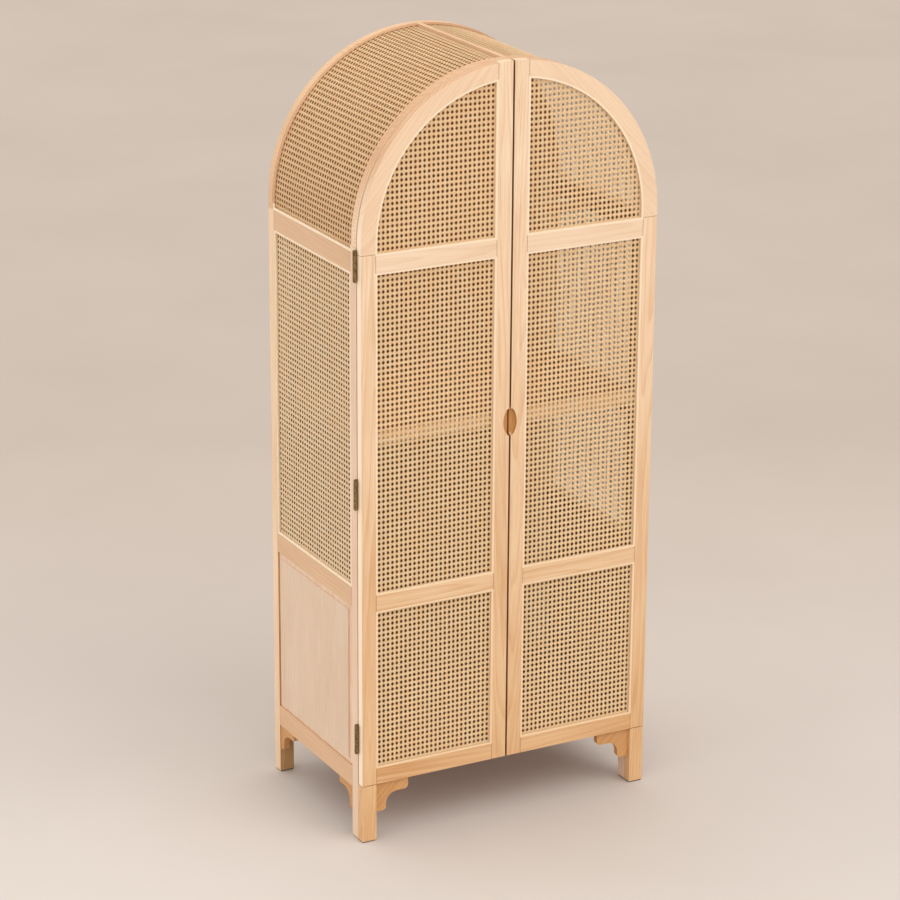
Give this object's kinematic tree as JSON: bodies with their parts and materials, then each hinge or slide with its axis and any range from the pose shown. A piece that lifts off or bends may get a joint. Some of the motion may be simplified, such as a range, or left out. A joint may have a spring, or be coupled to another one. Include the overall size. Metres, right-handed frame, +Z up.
{
  "type": "wardrobe",
  "caption": "Free-standing arch-topped wardrobe in light wood, with woven cane doors and sides, a cane-covered vault, and a shelf and hanging rail inside.",
  "frame": {"origin": "on the floor, under the middle of the wardrobe's outline", "axes": "+X to the right seen from the front, +Y from the doors to the back, +Z up"},
  "size_m": [0.8216, 0.5, 1.915],
  "materials": {
    "frame_wood": "clear matt lacquer on light ash",
    "panel_wood": "clear matt lacquer on light veneer",
    "bead_wood": "clear matt lacquer",
    "cane": "natural glossy-skinned cane",
    "hinge_brass": "antique brass",
    "catch_steel": "zinc plated",
    "catch_plastic": "matt",
    "foot_felt": "matt"
  },
  "bodies": {
    "carcass": {"front_post_left": "frame_wood", "front_post_right": "frame_wood", "rear_post_left": "frame_wood", "rear_post_right": "frame_wood", "front_leg_blocks": "frame_wood", "foot_pads": "foot_felt", "side_upper_rail_left": "frame_wood", "side_upper_rail_right": "frame_wood", "side_middle_rail_left": "frame_wood", "side_middle_rail_right": "frame_wood", "side_bottom_rail_left": "frame_wood", "side_bottom_rail_right": "frame_wood", "side_cane_left": "cane", "side_panel_left": "panel_wood", "side_cane_right": "cane", "side_panel_right": "panel_wood", "carcass_beads": "bead_wood", "front_arch_rib": "frame_wood", "rear_arch_rib": "frame_wood", "ridge_strip": "frame_wood", "vault_cane": "cane", "back_panel": "panel_wood", "front_base_rail": "frame_wood", "rear_base_rail": "frame_wood", "floor_panel": "panel_wood", "middle_shelf": "panel_wood", "shelf_cleats": "frame_wood", "leg_brackets": "frame_wood", "hanging_rail": "frame_wood", "rail_sockets": "frame_wood", "hinge_frame_leaves": "hinge_brass", "hinge_pins": "hinge_brass", "hinge_frame_screws": "hinge_brass", "door_catches": "catch_plastic"},
    "left_door": {"left_outer_stile": "frame_wood", "left_arch_rail": "frame_wood", "left_meeting_stile": "frame_wood", "left_upper_crossrail": "frame_wood", "left_lower_crossrail": "frame_wood", "left_bottom_rail": "frame_wood", "left_arch_cane": "cane", "left_middle_cane": "cane", "left_bottom_cane": "cane", "left_cane_beads": "bead_wood", "left_hinge_leaves": "hinge_brass", "left_hinge_screws": "hinge_brass", "left_catch_plate": "catch_steel"},
    "right_door": {"right_outer_stile": "frame_wood", "right_arch_rail": "frame_wood", "right_meeting_stile": "frame_wood", "right_upper_crossrail": "frame_wood", "right_lower_crossrail": "frame_wood", "right_bottom_rail": "frame_wood", "right_arch_cane": "cane", "right_middle_cane": "cane", "right_bottom_cane": "cane", "right_cane_beads": "bead_wood", "right_hinge_leaves": "hinge_brass", "right_hinge_screws": "hinge_brass", "right_catch_plate": "catch_steel"}
  },
  "joints": [
    {"name": "left_door_hinge", "type": "hinge", "parent": "carcass", "child": "left_door", "pos_m": [-0.4056, -0.23, 0.905], "axis": [0, 0, -1], "range_deg": [0, 180]},
    {"name": "right_door_hinge", "type": "hinge", "parent": "carcass", "child": "right_door", "pos_m": [0.4056, -0.23, 0.905], "axis": [0, 0, 1], "range_deg": [0, 180]}
  ]
}
